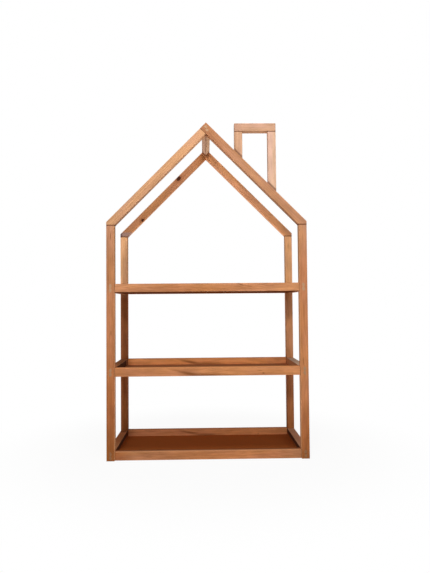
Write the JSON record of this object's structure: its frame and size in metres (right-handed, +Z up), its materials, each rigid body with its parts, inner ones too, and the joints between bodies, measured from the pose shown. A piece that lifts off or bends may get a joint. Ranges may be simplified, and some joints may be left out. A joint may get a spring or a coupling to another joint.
{
  "type": "house shaped bookcase",
  "caption": "House shaped open bookcase of square timber: gabled front and back frames joined by tray shelves with raised rails, a ridge beam, and a small chimney frame on the front gable.",
  "frame": {"origin": "on the floor below the middle of the case, between its four feet", "axes": "+Z is up, -Y faces the front with the chimney, and +X is the right side seen from the front"},
  "size_m": [0.6, 0.3, 1.007],
  "materials": {
    "brown_timber": "planed red brown softwood with a matt clear coat",
    "pale_timber": "the same timber in a paler board, with a matt clear coat",
    "dark_panel": "thin board with a dark red brown stain, satin",
    "wood_filler": "sanded pale grey green wood filler, matt",
    "zinc_steel": "bright zinc plated steel"
  },
  "bodies": {
    "root": {"front_left_post": "brown_timber", "front_right_post": "brown_timber", "back_left_post": "brown_timber", "back_right_post": "brown_timber", "front_left_rafter": "pale_timber", "front_right_rafter": "brown_timber", "back_left_rafter": "brown_timber", "back_right_rafter": "brown_timber", "ridge_beam": "pale_timber", "bottom_front_rail": "brown_timber", "bottom_back_rail": "brown_timber", "bottom_left_rail": "brown_timber", "bottom_right_rail": "brown_timber", "bottom_panel": "dark_panel", "middle_front_rail": "brown_timber", "middle_back_rail": "brown_timber", "middle_left_rail": "brown_timber", "middle_right_rail": "brown_timber", "middle_panel": "dark_panel", "top_front_rail": "brown_timber", "top_back_rail": "brown_timber", "top_left_rail": "brown_timber", "top_right_rail": "brown_timber", "top_panel": "dark_panel", "chimney_left_leg": "pale_timber", "chimney_right_leg": "pale_timber", "chimney_cap": "pale_timber", "front_screws": "zinc_steel", "back_screws": "zinc_steel", "left_screws": "zinc_steel", "right_screws": "zinc_steel", "eave_screws": "zinc_steel", "apex_screws": "zinc_steel", "ridge_screws": "zinc_steel", "chimney_cap_screws": "zinc_steel", "chimney_foot_screws": "zinc_steel", "front_plugs": "wood_filler", "back_plugs": "wood_filler", "left_plugs": "wood_filler", "right_plugs": "wood_filler", "eave_plugs": "wood_filler", "apex_plugs": "wood_filler", "ridge_plugs": "wood_filler", "chimney_cap_plugs": "wood_filler", "chimney_foot_plugs": "wood_filler", "bottom_panel_pins": "zinc_steel", "middle_panel_pins": "zinc_steel", "top_panel_pins": "zinc_steel"}
  },
  "joints": []
}
